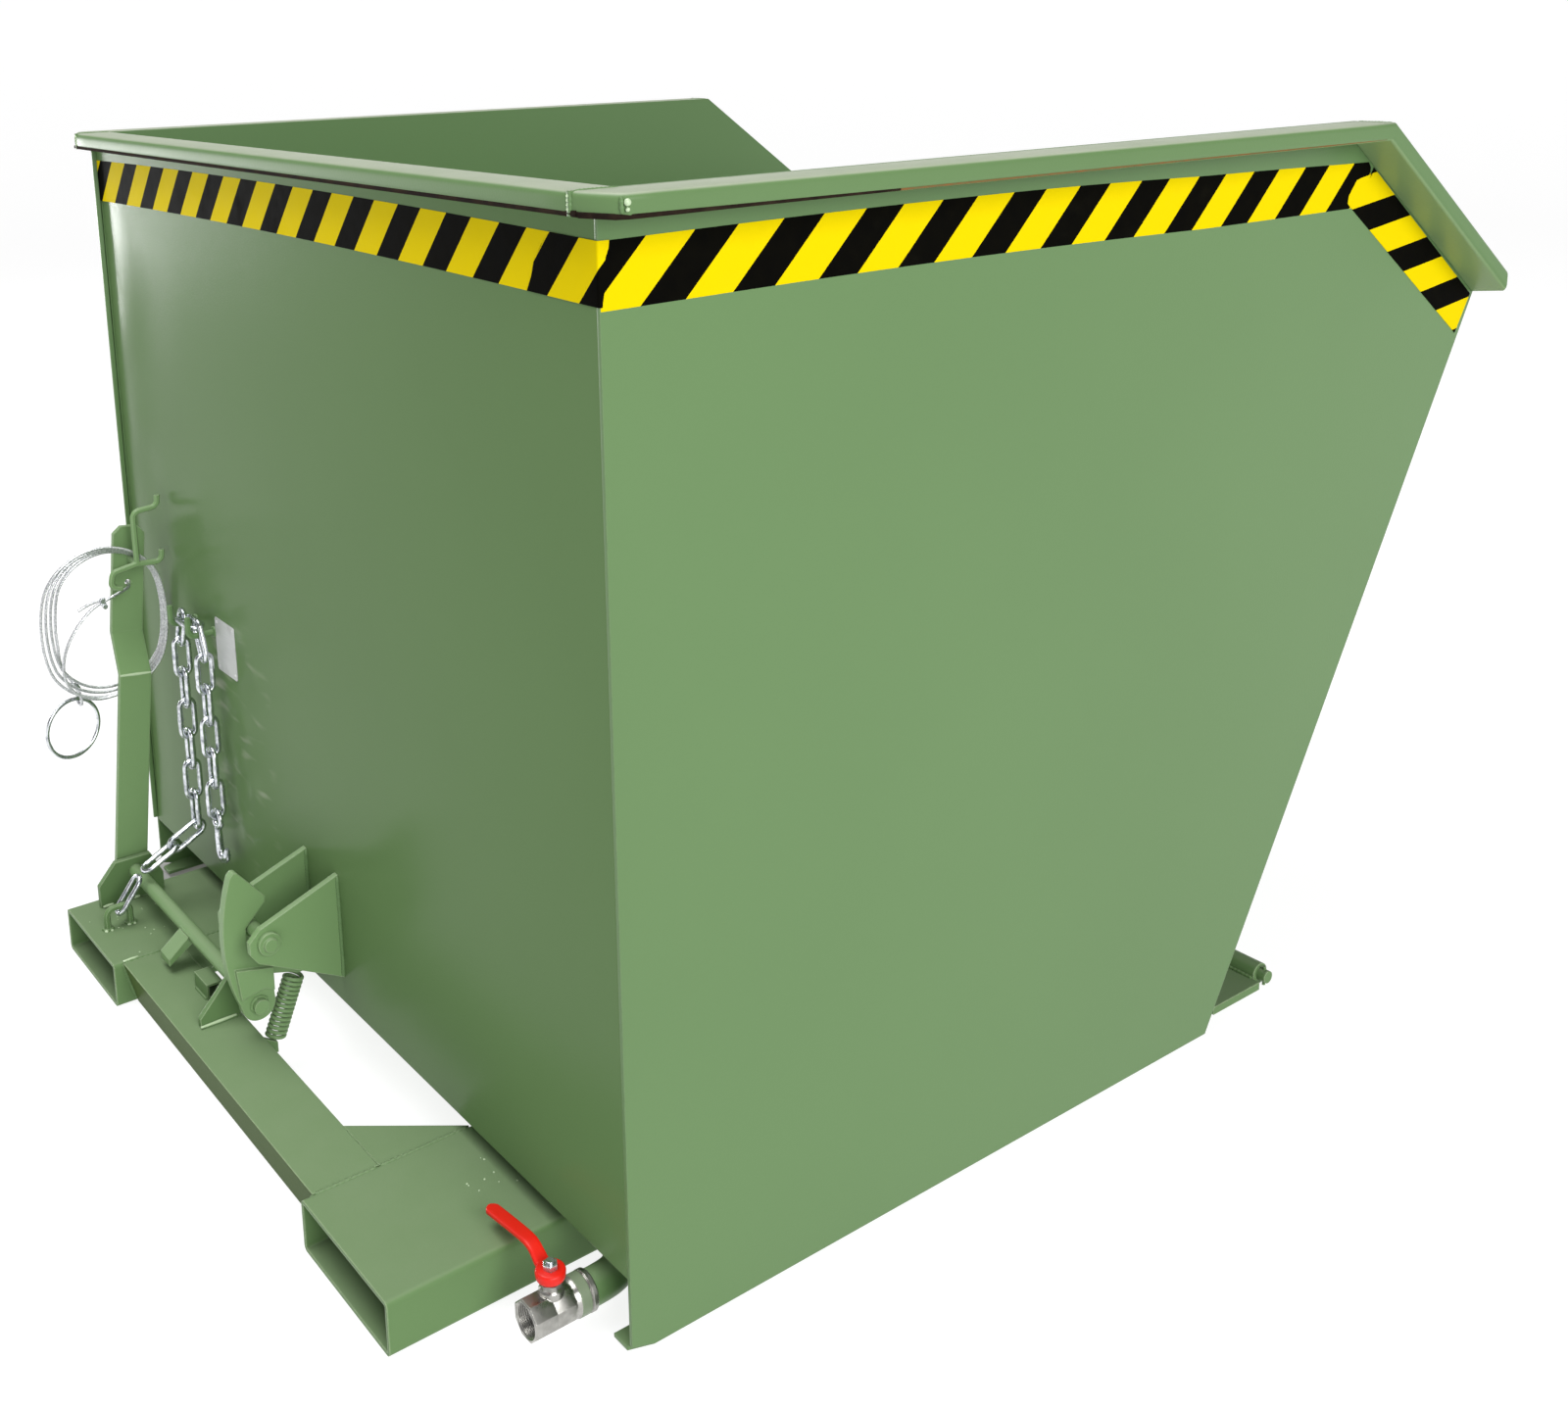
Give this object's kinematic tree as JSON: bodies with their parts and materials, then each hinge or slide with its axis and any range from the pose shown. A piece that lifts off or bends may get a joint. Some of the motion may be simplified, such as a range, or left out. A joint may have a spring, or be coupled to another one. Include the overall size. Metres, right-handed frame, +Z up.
{
  "type": "tipping container",
  "caption": "Forklift tipping container: sheet-steel trough hinged at the front of a base with fork pockets, with pull-cable latch, safety chain and drain tap.",
  "frame": {"origin": "on the floor, under the middle of the object's box", "axes": "+X towards the pouring lip, +Y to the left seen from behind, +Z up"},
  "size_m": [1.4892, 1.3, 1.069],
  "materials": {
    "green_paint": "satin paint",
    "zinc_steel": "zinc plated",
    "galvanised": "hot-dip galvanised",
    "wire_rope": "stranded steel wire",
    "valve_brass": "nickel-plated brass",
    "chrome_ball": "polished",
    "red_coat": "plastic-dipped",
    "bare_plate": "bare sheet"
  },
  "bodies": {
    "base": {"fork_pocket_left": "green_paint", "fork_pocket_right": "green_paint", "rear_cross_member": "green_paint", "gusset_left": "green_paint", "gusset_right": "green_paint", "front_plate": "green_paint", "hinge_tube_left": "green_paint", "hinge_tube_middle": "green_paint", "hinge_tube_right": "green_paint", "hinge_pin": "green_paint", "cotter_pins": "green_paint", "bearing_plate": "green_paint", "bearing_lug": "green_paint", "stop_block": "green_paint", "chain_eye": "green_paint", "eye_link": "galvanised", "spring_anchor": "green_paint", "latch_spring": "green_paint"},
    "container": {"rear_wall": "green_paint", "floor_sheet": "green_paint", "front_sheet": "green_paint", "lip_strip": "green_paint", "side_wall_left": "green_paint", "side_wall_right": "green_paint", "rim_left": "green_paint", "rim_right": "green_paint", "rim_rear": "green_paint", "floor_runner_left": "green_paint", "floor_runner_right": "green_paint", "hinge_arm_left": "green_paint", "hinge_arm_right": "green_paint", "latch_bracket_left": "green_paint", "latch_bracket_right": "green_paint", "striker_bolt": "green_paint", "striker_nut": "green_paint", "rating_plate": "bare_plate", "chain_hook_left": "green_paint", "chain_hook_right": "green_paint", "safety_chain": "galvanised", "chain_end_hook": "galvanised", "drain_pipe": "green_paint", "valve_body": "valve_brass"},
    "latch": {"release_shaft": "green_paint", "release_lever": "green_paint", "latch_pawl": "green_paint", "stop_tab": "green_paint", "cable_hanger": "green_paint", "cable_clip": "zinc_steel", "pull_cable": "wire_rope", "pull_cable_coil": "wire_rope", "ring_tail": "wire_rope", "ring_eye": "zinc_steel", "pull_ring": "zinc_steel"},
    "tap": {"valve_ball": "chrome_ball", "valve_stem": "zinc_steel", "tap_handle": "red_coat", "handle_nut": "zinc_steel"}
  },
  "joints": [
    {"name": "tip", "type": "hinge", "parent": "base", "child": "container", "pos_m": [0.417, 0, 0.0135], "axis": [0, 1, 0], "range_deg": [0, 90]},
    {"name": "latch_release", "type": "hinge", "parent": "base", "child": "latch", "pos_m": [-0.657, 0, 0.097], "axis": [0, 1, 0], "range_deg": [-18, 0], "stiffness_Nm_per_rad": 10, "springref_deg": 22.92, "deforming": ["latch_spring"]},
    {"name": "tap_turn", "type": "hinge", "parent": "container", "child": "tap", "pos_m": [-0.611, -0.534, 0.075], "axis": [0, 0, 1], "range_deg": [0, 90]}
  ]
}
